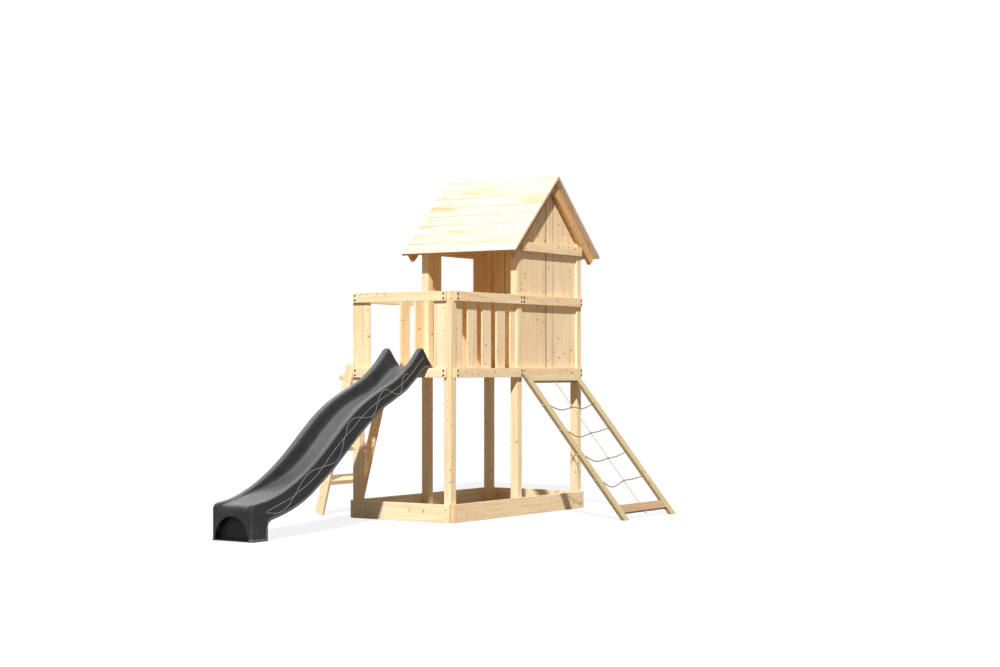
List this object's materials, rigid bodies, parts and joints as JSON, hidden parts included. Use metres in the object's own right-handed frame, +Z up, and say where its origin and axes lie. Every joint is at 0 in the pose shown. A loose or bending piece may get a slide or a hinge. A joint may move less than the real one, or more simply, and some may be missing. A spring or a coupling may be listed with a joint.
{
  "type": "stilt playhouse",
  "caption": "Timber playhouse on tall posts with a balcony, gabled roof, plastic wave slide, step ladder, rope climbing ramp and sandbox.",
  "frame": {"origin": "bottom centre of the bounding box, on the ground", "axes": "+Z up, -Y towards the foot of the slide, +X towards the climbing ramp"},
  "size_m": [2.4734, 4.3382, 2.9059],
  "materials": {
    "planed_spruce": "planed, untreated",
    "roof_spruce": "planed, untreated",
    "ramp_spruce": "planed, pressure treated",
    "slide_plastic": "moulded satin, dark grey",
    "rope": "laid fibre rope"
  },
  "bodies": {
    "root": {"post_front_left": "planed_spruce", "post_front_right": "planed_spruce", "post_middle_left": "planed_spruce", "post_middle_right": "planed_spruce", "post_rear_left": "planed_spruce", "post_rear_right": "planed_spruce", "platform_beam_front": "planed_spruce", "platform_beam_rear": "planed_spruce", "platform_beam_balcony_left": "planed_spruce", "platform_beam_balcony_right": "planed_spruce", "platform_beam_house_left": "planed_spruce", "platform_beam_house_right": "planed_spruce", "rail_front": "planed_spruce", "rail_rear": "planed_spruce", "rail_balcony_left": "planed_spruce", "rail_balcony_right": "planed_spruce", "rail_house_left": "planed_spruce", "rail_house_right": "planed_spruce", "sandbox_board_front": "planed_spruce", "sandbox_board_rear": "planed_spruce", "sandbox_board_left": "planed_spruce", "sandbox_board_right": "planed_spruce", "deck": "planed_spruce", "deck_bearer_left": "planed_spruce", "deck_bearer_right": "planed_spruce", "front_board_left": "planed_spruce", "front_board_right": "planed_spruce", "balcony_slat_right_1": "planed_spruce", "balcony_slat_right_2": "planed_spruce", "balcony_slat_right_3": "planed_spruce", "balcony_slat_right_4": "planed_spruce", "balcony_slat_right_5": "planed_spruce", "balcony_slat_left_1": "planed_spruce", "balcony_slat_left_2": "planed_spruce", "house_wall_right": "planed_spruce", "house_wall_rear": "planed_spruce", "house_wall_left_front": "planed_spruce", "house_wall_left_rear": "planed_spruce", "house_wall_left_sill": "planed_spruce", "house_wall_left_header": "planed_spruce", "roof_slope_front": "roof_spruce", "roof_slope_rear": "roof_spruce", "rafter_front_left": "planed_spruce", "rafter_front_right": "planed_spruce", "rafter_rear_left": "planed_spruce", "rafter_rear_right": "planed_spruce", "gable_tie_left": "planed_spruce", "gable_tie_right": "planed_spruce", "ladder_stile_front": "planed_spruce", "ladder_stile_rear": "planed_spruce", "ladder_tread_1": "planed_spruce", "ladder_tread_2": "planed_spruce", "ladder_tread_3": "planed_spruce", "ladder_tread_4": "planed_spruce", "ramp_stile_near": "ramp_spruce", "ramp_stile_far": "ramp_spruce", "ramp_cross_board_top": "ramp_spruce", "ramp_cross_board_foot": "ramp_spruce", "climbing_net": "rope", "slide": "slide_plastic"}
  },
  "joints": []
}
